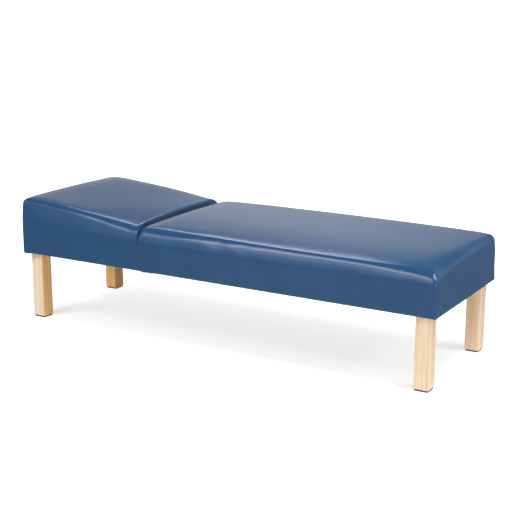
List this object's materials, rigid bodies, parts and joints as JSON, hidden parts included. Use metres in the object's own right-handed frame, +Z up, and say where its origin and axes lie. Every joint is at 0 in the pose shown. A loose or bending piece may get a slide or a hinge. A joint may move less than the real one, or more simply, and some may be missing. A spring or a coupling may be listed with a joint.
{
  "type": "treatment couch",
  "caption": "Low padded treatment couch: vinyl-covered top with a raised sloping head section, on square hardwood legs with rubber glides.",
  "frame": {"origin": "on the floor, under the middle of the couch's length and width", "axes": "+X towards the foot end, -X towards the raised head end, -Y towards the front long side, +Z up"},
  "size_m": [1.829, 0.61, 0.5124],
  "materials": {
    "blue_vinyl": "smooth semi-gloss coated cloth, blue",
    "leg_hardwood": "pale hardwood under clear satin lacquer",
    "glide_rubber": "moulded dark rubber, matt",
    "frame_timber": "planed softwood, unfinished",
    "deck_plywood": "sanded plywood, unfinished",
    "cushion_foam": "open-cell polyurethane foam, cream",
    "black_cambric": "spunbonded cloth, black and matt",
    "zinc_steel": "bright zinc plate"
  },
  "bodies": {
    "root": {"head_cover": "blue_vinyl", "main_cover": "blue_vinyl", "leg_front_head": "leg_hardwood", "leg_front_foot": "leg_hardwood", "leg_rear_foot": "leg_hardwood", "leg_rear_head": "leg_hardwood", "glide_front_head": "glide_rubber", "glide_front_foot": "glide_rubber", "glide_rear_foot": "glide_rubber", "glide_rear_head": "glide_rubber", "side_rail_front": "frame_timber", "side_rail_rear": "frame_timber", "end_rail_head": "frame_timber", "end_rail_foot": "frame_timber", "brace_head": "frame_timber", "brace_crease": "frame_timber", "brace_middle": "frame_timber", "brace_foot": "frame_timber", "corner_block_front_head": "frame_timber", "corner_block_front_foot": "frame_timber", "corner_block_rear_foot": "frame_timber", "corner_block_rear_head": "frame_timber", "head_deck": "deck_plywood", "main_deck": "deck_plywood", "head_foam": "cushion_foam", "main_foam": "cushion_foam", "dust_cover": "black_cambric", "frame_screws": "zinc_steel", "block_screws": "zinc_steel", "deck_screws": "zinc_steel", "glide_screws": "zinc_steel", "leg_bolts": "zinc_steel", "leg_washers": "zinc_steel", "leg_nuts": "zinc_steel", "cover_staples": "zinc_steel", "dust_cover_staples": "zinc_steel"}
  },
  "joints": []
}
